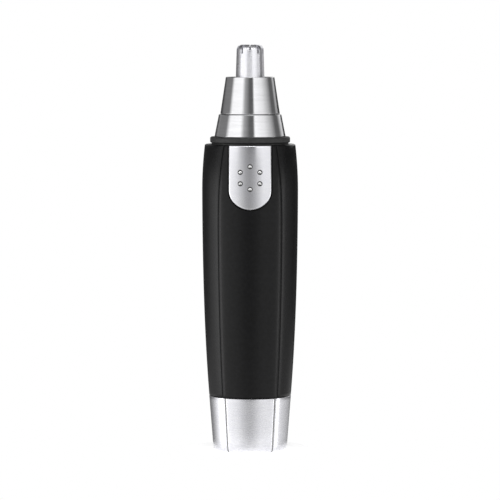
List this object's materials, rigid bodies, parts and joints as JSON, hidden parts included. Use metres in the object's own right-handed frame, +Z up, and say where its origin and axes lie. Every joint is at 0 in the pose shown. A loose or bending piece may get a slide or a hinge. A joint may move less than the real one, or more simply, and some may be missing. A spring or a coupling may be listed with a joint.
{
  "type": "nose hair trimmer",
  "caption": "Upright battery nose hair trimmer: black tapered body, silver sliding switch and end cap, stepped metal head and a slotted round cutter tube with a turning blade.",
  "frame": {"origin": "centre of the flat base of the end cap, on the surface that the trimmer stands on", "axes": "+Z up the tool's axis to the cutting tip, -Y to the front with the switch, +X to the viewer's right from the front"},
  "size_m": [0.0296, 0.0302, 0.125],
  "materials": {
    "soft_touch_black": "soft-touch black coating",
    "inner_plastic": "moulded black plastic",
    "black_rubber": "black moulded rubber",
    "head_metal": "turned and polished steel",
    "cutter_steel": "polished stainless steel",
    "silver_plastic": "silver-plated plastic, satin",
    "pale_plastic": "moulded acetal",
    "screw_steel": "zinc-plated steel",
    "spring_steel": "drawn spring wire",
    "contact_metal": "nickel-plated strip",
    "motor_steel": "zinc-plated sheet steel",
    "bearing_brass": "sintered bronze",
    "copper": "enamelled or bare copper",
    "magnet": "ferrite",
    "cell_metal": "nickel-plated can",
    "cell_label": "plain shrink sleeve"
  },
  "bodies": {
    "housing": {"body_shell": "soft_touch_black", "chassis_front": "inner_plastic", "chassis_rear": "inner_plastic", "neck_mount": "inner_plastic", "neck_screws": "screw_steel", "collar_seal": "black_rubber", "trim_ring": "head_metal", "battery_cell": "cell_metal", "battery_sleeve": "cell_label", "positive_contact": "contact_metal", "negative_strip": "contact_metal", "motor_feed_strip": "contact_metal", "motor_can": "motor_steel", "motor_end_bell": "pale_plastic", "motor_front_bush": "bearing_brass", "motor_rear_bush": "bearing_brass", "motor_magnets": "magnet", "motor_terminals": "contact_metal", "motor_brushes": "copper", "switch_base": "inner_plastic"},
    "motor_rotor": {"motor_shaft": "screw_steel", "commutator": "copper", "armature_core": "motor_steel", "armature_windings": "copper", "drive_coupling": "pale_plastic"},
    "switch": {"switch_button": "silver_plastic", "switch_carrier": "inner_plastic", "switch_contact_bridge": "copper"},
    "head": {"head_cone": "head_metal", "cutter_tube": "cutter_steel", "head_insert": "inner_plastic", "spindle_bush": "pale_plastic", "tip_bush": "pale_plastic"},
    "blade": {"blade_spindle": "pale_plastic", "inner_blade": "cutter_steel", "blade_spring": "spring_steel"},
    "cap": {"end_cap": "silver_plastic", "end_cap_plug": "inner_plastic", "end_cap_seal": "black_rubber", "cap_contact": "contact_metal", "battery_spring": "spring_steel"}
  },
  "joints": [
    {"name": "switch_slide", "type": "slide", "parent": "housing", "child": "switch", "axis": [0, 0, 1], "range_m": [0, 0.003]},
    {"name": "motor_spin", "type": "hinge", "parent": "housing", "child": "motor_rotor", "pos_m": [0, 0, 0.075], "axis": [0, 0, 1], "continuous": true},
    {"name": "head_twist", "type": "hinge", "parent": "housing", "child": "head", "pos_m": [0, 0, 0.1], "axis": [0, 0, 1], "range_deg": [0, 35]},
    {"name": "blade_spin", "type": "hinge", "parent": "head", "child": "blade", "pos_m": [0, 0, 0.11], "axis": [0, 0, 1], "continuous": true},
    {"name": "end_cap_twist", "type": "hinge", "parent": "housing", "child": "cap", "pos_m": [0, 0, 0.021], "axis": [0, 0, 1], "range_deg": [-35, 0]}
  ],
  "couplings": [
    {"joint": "blade_spin", "follows": "motor_spin", "ratio": 1}
  ]
}
